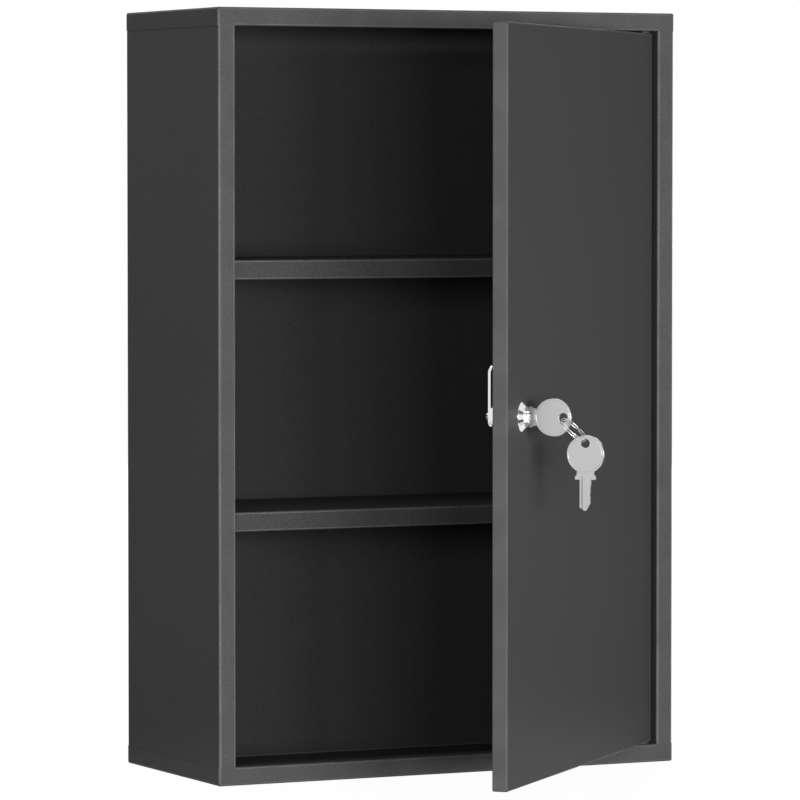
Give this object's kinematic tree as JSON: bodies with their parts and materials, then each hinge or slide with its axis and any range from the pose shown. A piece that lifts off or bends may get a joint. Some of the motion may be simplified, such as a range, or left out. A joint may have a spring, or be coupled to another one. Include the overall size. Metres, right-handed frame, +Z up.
{
  "type": "lockable medicine cabinet",
  "caption": "Wall-hung steel medicine cabinet with shelves, an inset swing door on hidden pivots, a cam lock and keys on a split ring.",
  "frame": {"origin": "middle of the four wall holes, on the plane of the wall that the case's rear face rests against", "axes": "+X to the right seen from the front, +Y back into the wall, +Z up; the front faces -Y"},
  "size_m": [0.306, 0.3465, 0.46],
  "materials": {
    "case_paint": "dark grey powder coat with a fine grain",
    "door_paint": "dark grey powder coat, smoother than the case",
    "zinc_steel": "zinc-plated steel, satin",
    "nylon": "natural nylon, matt",
    "lock_chrome": "bright chrome plate",
    "wafer_brass": "plain stamped brass",
    "key_nickel": "satin nickel plate"
  },
  "bodies": {
    "cabinet": {"left_side_panel": "case_paint", "right_side_panel": "case_paint", "top_cap": "case_paint", "bottom_cap": "case_paint", "back_panel": "case_paint", "upper_shelf": "case_paint", "lower_shelf": "case_paint", "upper_shelf_ledges": "case_paint", "lower_shelf_ledges": "case_paint", "upper_hinge_pin": "zinc_steel", "lower_hinge_pin": "zinc_steel"},
    "door": {"door_panel": "door_paint", "upper_hinge_plate": "zinc_steel", "lower_hinge_plate": "zinc_steel", "upper_hinge_bush": "nylon", "lower_hinge_bush": "nylon", "lock_body": "lock_chrome", "lock_washer": "zinc_steel", "lock_nut": "zinc_steel"},
    "plug": {"lock_plug": "lock_chrome", "lock_wafers": "wafer_brass", "cam_lever": "lock_chrome", "spring_washer": "zinc_steel", "cam_screw": "lock_chrome"},
    "key": {"key": "key_nickel"},
    "ring": {"key_ring": "lock_chrome"},
    "spare_key": {"spare_key": "key_nickel"}
  },
  "joints": [
    {"name": "door_hinge", "type": "hinge", "parent": "cabinet", "child": "door", "pos_m": [0.1345, -0.134, 0], "axis": [0, 0, 1], "range_deg": [-44.2, 65.8]},
    {"name": "plug_turn", "type": "hinge", "parent": "door", "child": "plug", "pos_m": [-0.04194, -0.31116, -0.006], "axis": [0.6972, -0.7169, 0], "range_deg": [0, 90]},
    {"name": "key_slide", "type": "slide", "parent": "plug", "child": "key", "axis": [0.6972, -0.7169, 0], "range_m": [-0.0012, 0.016]},
    {"name": "ring_swing", "type": "hinge", "parent": "key", "child": "ring", "pos_m": [-0.02512, -0.32846, -0.00675], "axis": [0.7169, 0.6972, 0], "range_deg": [-30, 25]},
    {"name": "spare_key_swing", "type": "hinge", "parent": "ring", "child": "spare_key", "pos_m": [-0.01564, -0.33821, -0.019], "axis": [0.7169, 0.6972, 0], "range_deg": [-25, 15]}
  ]
}
